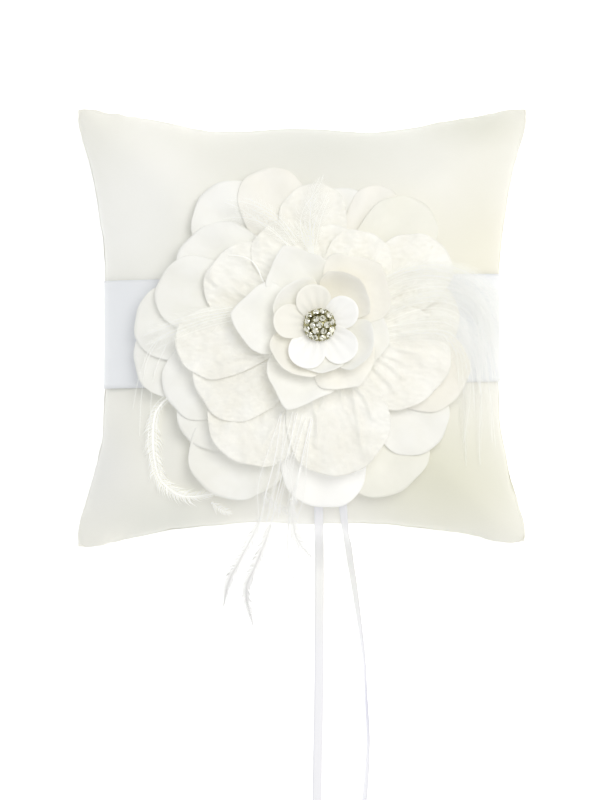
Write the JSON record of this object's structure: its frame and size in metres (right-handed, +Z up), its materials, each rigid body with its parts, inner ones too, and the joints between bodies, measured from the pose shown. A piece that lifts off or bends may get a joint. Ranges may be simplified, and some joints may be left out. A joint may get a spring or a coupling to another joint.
{
  "type": "ring bearer pillow",
  "caption": "Small square satin ring pillow with a ribbon band, a large layered fabric flower with feathers, a rhinestone brooch and narrow ribbon tails.",
  "frame": {"origin": "middle of the flat patch under the back panel that the pillow rests on", "axes": "+Z up through the flower, X along the ribbon band, the ribbon tails lie towards -Y"},
  "size_m": [0.2, 0.4023, 0.0919],
  "materials": {
    "satin": "soft ivory satin",
    "band": "cool-white satin ribbon",
    "filling": "loose polyester fibre",
    "felt": "ivory craft felt",
    "petal_satin": "matt silk-like satin with heat-curled edges",
    "organza": "crinkled sheer organza",
    "feather": "loose ostrich flues",
    "tail_satin": "narrow double-faced satin ribbon",
    "setting": "pale antique-gold plate",
    "rhinestone": "clear faceted rhinestone"
  },
  "bodies": {
    "root": {"back_panel": "satin", "brooch_rhinestones": "rhinestone", "brooch_setting": "setting", "corolla": "petal_satin", "cup_petal_01": "petal_satin", "cup_petal_02": "petal_satin", "cup_petal_03": "petal_satin", "cup_petal_04": "petal_satin", "cup_petal_05": "petal_satin", "felt_base": "felt", "fibre_fill": "filling", "front_panel": "satin", "inner_petal_01": "petal_satin", "inner_petal_02": "petal_satin", "inner_petal_03": "petal_satin", "inner_petal_04": "petal_satin", "inner_petal_05": "petal_satin", "inner_petal_06": "petal_satin", "middle_petal_01": "organza", "middle_petal_02": "organza", "middle_petal_03": "organza", "middle_petal_04": "organza", "middle_petal_05": "organza", "middle_petal_06": "organza", "middle_petal_07": "organza", "middle_petal_08": "organza", "middle_petal_09": "organza", "outer_petal_01": "petal_satin", "outer_petal_02": "petal_satin", "outer_petal_03": "petal_satin", "outer_petal_04": "petal_satin", "outer_petal_05": "petal_satin", "outer_petal_06": "petal_satin", "outer_petal_07": "petal_satin", "outer_petal_08": "petal_satin", "outer_petal_09": "petal_satin", "outer_petal_10": "petal_satin", "outer_petal_11": "petal_satin", "outer_petal_12": "petal_satin", "outer_petal_13": "petal_satin", "outer_petal_14": "petal_satin", "outer_petal_15": "petal_satin", "outer_petal_16": "petal_satin", "outer_petal_17": "petal_satin", "outer_petal_18": "petal_satin", "outer_petal_19": "petal_satin", "plume_edge_1": "feather", "plume_edge_2": "feather", "plume_edge_3": "feather", "plume_left": "feather", "plume_lower_left": "feather", "plume_right_1": "feather", "plume_right_2": "feather", "plume_right_3": "feather", "plume_top_1": "feather", "plume_top_2": "feather", "ribbon_band": "band", "tail_left": "tail_satin", "tail_right": "tail_satin"}
  },
  "joints": []
}
